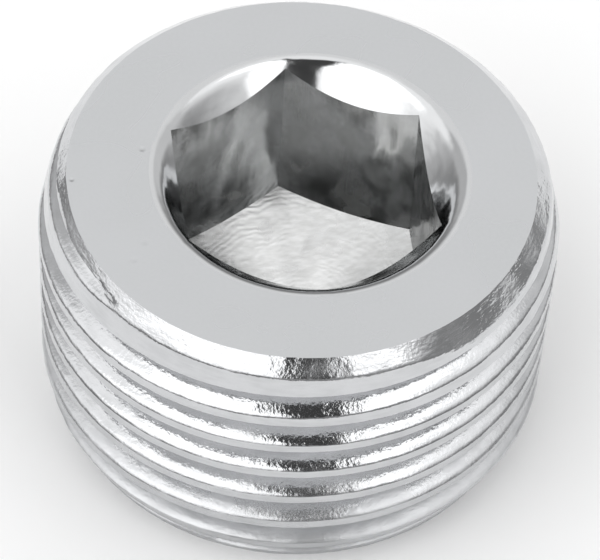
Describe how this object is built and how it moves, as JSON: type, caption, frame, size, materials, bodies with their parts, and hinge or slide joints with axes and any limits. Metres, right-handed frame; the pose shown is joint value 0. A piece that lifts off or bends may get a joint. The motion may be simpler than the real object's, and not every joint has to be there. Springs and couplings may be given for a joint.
{
  "type": "hex socket plug",
  "caption": "Short steel pipe plug with a tapered outside thread, a flat chamfered face and a countersunk hexagon socket for a key.",
  "frame": {"origin": "centre of the small end, the flat face that the plug stands on", "axes": "+Z along the thread's axis, from the small end out of the socket face; two corners of the hexagon socket lie on the Y axis"},
  "size_m": [0.0168, 0.0168, 0.01],
  "materials": {
    "plated_steel": "bright plated, machined"
  },
  "bodies": {
    "root": {"plug_body": "plated_steel"}
  },
  "joints": []
}
